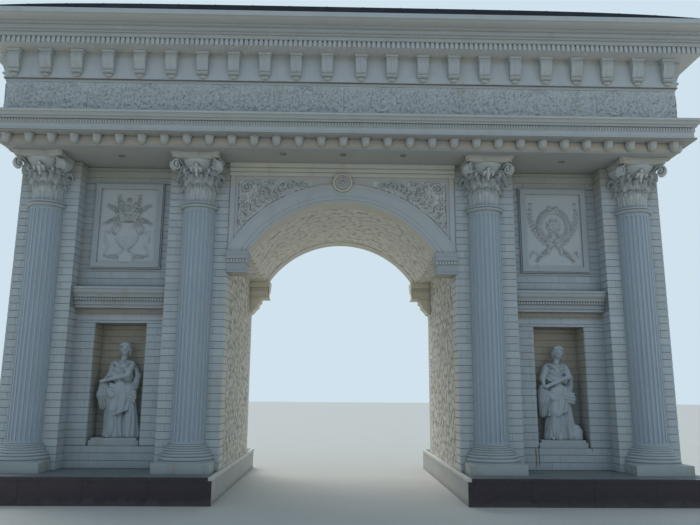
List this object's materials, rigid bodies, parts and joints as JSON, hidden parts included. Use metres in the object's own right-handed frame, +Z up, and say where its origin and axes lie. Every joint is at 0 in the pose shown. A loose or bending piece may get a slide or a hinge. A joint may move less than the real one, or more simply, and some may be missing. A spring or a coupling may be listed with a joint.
{
  "type": "triumphal arch",
  "caption": "Free-standing triumphal arch with two tiled piers, a segmental vault, fluted half columns, statue niches and a deep bracketed entablature.",
  "frame": {"origin": "on the ground at the centre of the plan", "axes": "+X to the right along the front, +Y through the passage from front to back, +Z up"},
  "size_m": [11.73, 6, 7.217],
  "materials": {
    "cast_stone": "painted cast mouldings, off white, dulled by dust",
    "wall_tile": "split-faced pale tile cladding with thin dark joints",
    "vault_face": "smooth painted bands and a rough chiselled soffit",
    "chiselled_panel": "rough chiselled stone panel",
    "plinth_stone": "dark polished stone facing",
    "floor_slab": "dusty grey floor slab with a pale edge",
    "carved_panel": "carved relief with dust in the hollows",
    "statue_stone": "matt pale cast stone",
    "roof_metal": "near black painted sheet",
    "light_fitting": "dull painted ring"
  },
  "bodies": {
    "root": {"plinths": "plinth_stone", "plinth_floors": "floor_slab", "piers": "wall_tile", "pilaster_strips": "wall_tile", "vault": "vault_face", "passage_panels": "chiselled_panel", "archivolts": "cast_stone", "medallions": "cast_stone", "spandrels": "carved_panel", "frame_strips": "cast_stone", "arch_strings": "cast_stone", "imposts_front": "cast_stone", "imposts_back": "cast_stone", "corbels": "cast_stone", "column_blocks": "cast_stone", "column_bases": "cast_stone", "column_shafts": "cast_stone", "capital_necks": "cast_stone", "capitals": "cast_stone", "abaci": "cast_stone", "bay_strings": "cast_stone", "relief_frames": "cast_stone", "relief_fields": "carved_panel", "statue_slabs": "cast_stone", "statue_left": "statue_stone", "statue_right": "statue_stone", "architrave": "cast_stone", "cup_brackets": "cast_stone", "lower_cornice": "cast_stone", "frieze": "carved_panel", "console_band": "cast_stone", "consoles": "cast_stone", "dentil_course": "cast_stone", "upper_cornice": "cast_stone", "roof_cap": "roof_metal", "soffit_lights": "light_fitting"}
  },
  "joints": []
}
